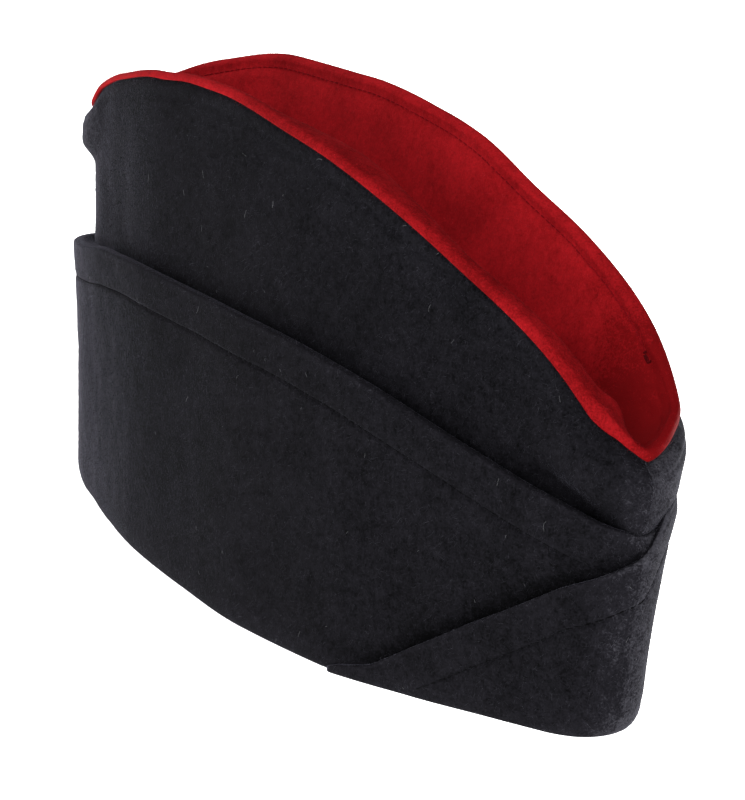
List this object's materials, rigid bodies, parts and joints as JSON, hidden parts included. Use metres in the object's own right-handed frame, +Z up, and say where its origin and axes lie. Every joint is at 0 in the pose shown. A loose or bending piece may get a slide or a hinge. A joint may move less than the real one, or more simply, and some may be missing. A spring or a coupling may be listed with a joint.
{
  "type": "side cap",
  "caption": "Soft felted wool side cap, boat shaped and open below, with a red top sunk into a lengthwise valley between its rims and a turned-up dark cuff that overlaps at the front.",
  "frame": {"origin": "centre of the foot, on the surface that the cap rests on", "axes": "+X forward to the front seam, +Y to the wearer's left, +Z up"},
  "size_m": [0.2788, 0.0672, 0.1344],
  "materials": {
    "dark_wool": "matt napped blue-black wool cloth",
    "red_wool": "matt napped red wool cloth"
  },
  "bodies": {
    "root": {"crown_right": "dark_wool", "crown_left": "dark_wool", "crown_top": "red_wool", "cuff_right": "dark_wool", "cuff_left": "dark_wool"}
  },
  "joints": []
}
